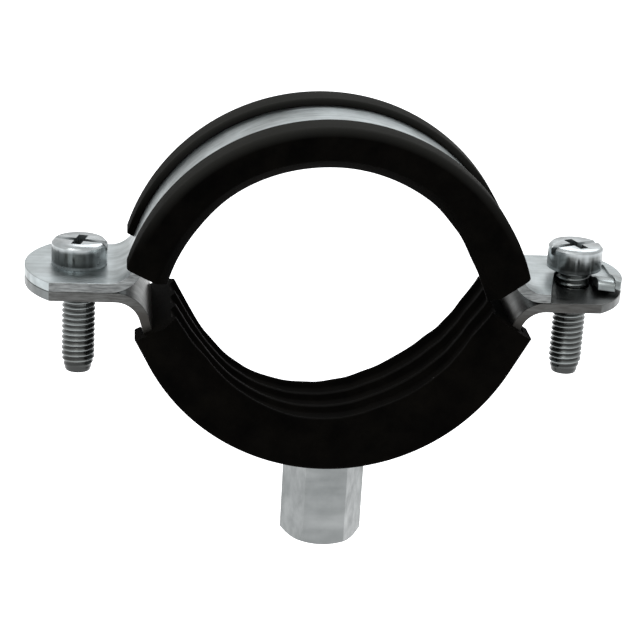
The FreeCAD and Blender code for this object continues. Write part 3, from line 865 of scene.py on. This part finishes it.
def lift_tab(bm):
    """Bends the front end of the tab up, so that it stands over a hollow."""
    bmesh.ops.remove_doubles(bm, verts=bm.verts, dist=TAB_MERGE * MM)
    for cut in TAB_CUTS:
        faces = [face for face in bm.faces if face.calc_center_median().x > EAR_FROM * MM]
        edges = {edge for face in faces for edge in face.edges}
        verts = {vert for face in faces for vert in face.verts}
        bmesh.ops.bisect_plane(
            bm, geom=faces + list(edges) + list(verts), dist=CUT_SLACK * MM,
            plane_co=length_mm(0, cut, 0), plane_no=(0, 1, 0),
        )
    for vert in bm.verts:
        x, y = vert.co.x / MM, vert.co.y / MM
        if x > TAB_INNER and y < 0.0:
            side = within((TAB_OUTER - x) / TAB_FADE, 0.0, 1.0)
            vert.co.z += TAB_RISE * MM * eased(min(-y / TAB_LENGTH, 1.0)) * side


# %% Soften the strips and the boss
STRIP_BEVEL = 0.14
BOSS_BEVEL = 0.35


def softened_node(node, name, material, body, width, clamp=True, shape=None):
    """A CAD node with soft edges; shape may change its mesh first."""
    bm = merged_copy(node)
    if shape:
        shape(bm)
    piece = finish_piece(bm, name, material, SMOOTH_STRIP)
    soften(piece, width, clamp)
    stand_in(piece, node, body)


softened_node("upper_band", "upper_strip", ZINC, "upper_half", STRIP_BEVEL,
              clamp=False, shape=lift_tab)
softened_node("lower_band", "lower_strip", ZINC, "lower_half", STRIP_BEVEL,
              clamp=False)
softened_node("boss", "threaded_boss_nut", BOSS_STEEL, "lower_half", BOSS_BEVEL)

# %% [markdown]
# ## Threads
# A screw thread is one small profile, a pitch high, that is spun many turns while it climbs.
# The turns meet edge to edge, so merging their doubles makes one skin. The raw start and end
# of the helix are cut off square, and the free end is tapered as on a real screw.

# %% A helical thread
THREAD_STEPS = 36
SPARE_TURNS = 3
MERGE_TURNS = 0.003


def thread_skin(bm, axis_x, low, high, crest, root, pitch):
    """A threaded wall between two heights, with some spare turns that are cut off again."""
    turns = math.ceil((high - low) / pitch) + SPARE_TURNS
    # Radius, and height as a share of the pitch.
    shape = [(crest, 0.0), (crest, 0.14), (root, 0.5), (root, 0.64), (crest, 1.0)]
    base = low - SPARE_TURNS / 2.0 * pitch
    line = [
        bm.verts.new(length_mm(axis_x + radius, 0.0, base + share * pitch))
        for radius, share in shape
    ]
    edges = [bm.edges.new(pair) for pair in zip(line, line[1:])]
    bmesh.ops.spin(
        bm, geom=line + edges, cent=length_mm(axis_x, 0, 0), axis=(0, 0, 1),
        dvec=(0, 0, pitch * MM / THREAD_STEPS), angle=math.tau * turns,
        steps=THREAD_STEPS * turns, use_duplicate=False,
    )
    bmesh.ops.remove_doubles(bm, verts=bm.verts, dist=MERGE_TURNS * MM)
    cut_off(bm, length_mm(0, 0, low), Vector((0, 0, -1)))
    cut_off(bm, length_mm(0, 0, high), Vector((0, 0, 1)))


def reach_mm(point, axis_x):
    """How far a point is from an upright axis."""
    return math.hypot(point.x / MM - axis_x, point.y / MM)


def set_reach(point, axis_x, reach):
    """Moves a point straight to or from an upright axis."""
    offset = Vector((point.x - axis_x * MM, point.y)).normalized() * reach * MM
    point.x = axis_x * MM + offset.x
    point.y = offset.y


def close_ends(bm):
    """Fills every open rim with a flat face."""
    open_edges = [edge for edge in bm.edges if len(edge.link_faces) == 1]
    bmesh.ops.triangle_fill(bm, use_beauty=True, edges=open_edges)


# %% [markdown]
# ## Two short screws
# The heads keep the CAD model's slot and cross. Their rims are rounded, as on cold-formed
# heads. The plain CAD shank is left off and a coarse M6 thread takes its place.

# %% Make the screws
SCREW_CREST = 2.95
SCREW_ROOT = 2.42
SCREW_PITCH = 1.0
SCREW_LONG = 20.0
HEAD_RADIUS = 4.9
HEAD_CUT = 0.02
RIM_BAND = 0.6
RIM_ROUND = 0.3
SHANK_IN_HEAD = 0.5
TIP_LONG = 2.5
TIP_RADIUS = 2.25


def taper_tip(bm, axis_x, low):
    """Draws the last turns in towards the tip."""
    for vert in bm.verts:
        climb = (vert.co.z / MM - low) / TIP_LONG
        limit = TIP_RADIUS + (SCREW_CREST - TIP_RADIUS) * climb
        if climb < 1.0 and reach_mm(vert.co, axis_x) > limit:
            set_reach(vert.co, axis_x, limit)


def rim_edges(bm, axis_x):
    """The sharp level edges near the flank of a head."""
    rims = []
    for edge in bm.edges:
        inner = min(reach_mm(end.co, axis_x) for end in edge.verts)
        level = abs(edge.verts[0].co.z - edge.verts[1].co.z) < 0.01 * MM
        if inner > HEAD_RADIUS - RIM_BAND and level and edge.calc_face_angle(0) > 0.5:
            rims.append(edge)
    return rims


def make_screw(node, name, body, axis_x, seat, steel):
    """A head with rounded rims on a threaded shank; seat is the head's underside."""
    bm = merged_copy(node)
    cut_off(bm, length_mm(0, 0, seat + HEAD_CUT), Vector((0, 0, -1)))
    close_ends(bm)
    bmesh.ops.bevel(
        bm, geom=rim_edges(bm, axis_x), offset=RIM_ROUND * MM, offset_type="OFFSET",
        segments=3, profile=0.5, affect="EDGES", material=-1, clamp_overlap=True,
    )
    shank = bmesh.new()
    tip = seat - SCREW_LONG
    thread_skin(shank, axis_x, tip, seat + SHANK_IN_HEAD, SCREW_CREST, SCREW_ROOT, SCREW_PITCH)
    taper_tip(shank, axis_x, tip)
    close_ends(shank)
    part = bpy.data.meshes.new(name + "_shank")
    shank.to_mesh(part)
    shank.free()
    bm.from_mesh(part)
    bpy.data.meshes.remove(part)
    piece = finish_piece(bm, name, steel, SMOOTH_SCREW)
    stand_in(piece, node, body)


make_screw("left_screw", "left_cap_screw", "left_screw", -SCREW_REACH, LEFT_SEAT,
           LEFT_SCREW_STEEL)
make_screw("right_screw", "right_cap_screw", "right_screw", SCREW_REACH, RIGHT_SEAT,
           RIGHT_SCREW_STEEL)

# %% [markdown]
# The boss is tapped for a threaded rod. The thread shows only from below, so it is a skin
# that lines the bore. A nut's thread starts at once behind its mouth, so the first turn grows
# out of the wall.

# %% Thread in the boss
BOSS_SHIFT = 1.1
BOSS_MOUTH = -49.8
TAPPED_FROM = BOSS_MOUTH + 0.9
TAPPED_TO = BOSS_MOUTH + 14.9
TAPPED_WALL = 3.39
TAPPED_RIDGE = 2.95
TAPPED_PITCH = 1.25
TAPPED_FADE = 0.8
bm = bmesh.new()
thread_skin(bm, BOSS_SHIFT, TAPPED_FROM, TAPPED_TO, TAPPED_WALL, TAPPED_RIDGE, TAPPED_PITCH)
for vert in bm.verts:
    climb = min((vert.co.z / MM - TAPPED_FROM) / TAPPED_FADE, 1.0)
    reach = TAPPED_WALL + (reach_mm(vert.co, BOSS_SHIFT) - TAPPED_WALL) * climb
    set_reach(vert.co, BOSS_SHIFT, reach)
tapping = finish_piece(bm, "boss_tapping", BOSS_STEEL, SMOOTH_SCREW)
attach(tapping, "lower_half")
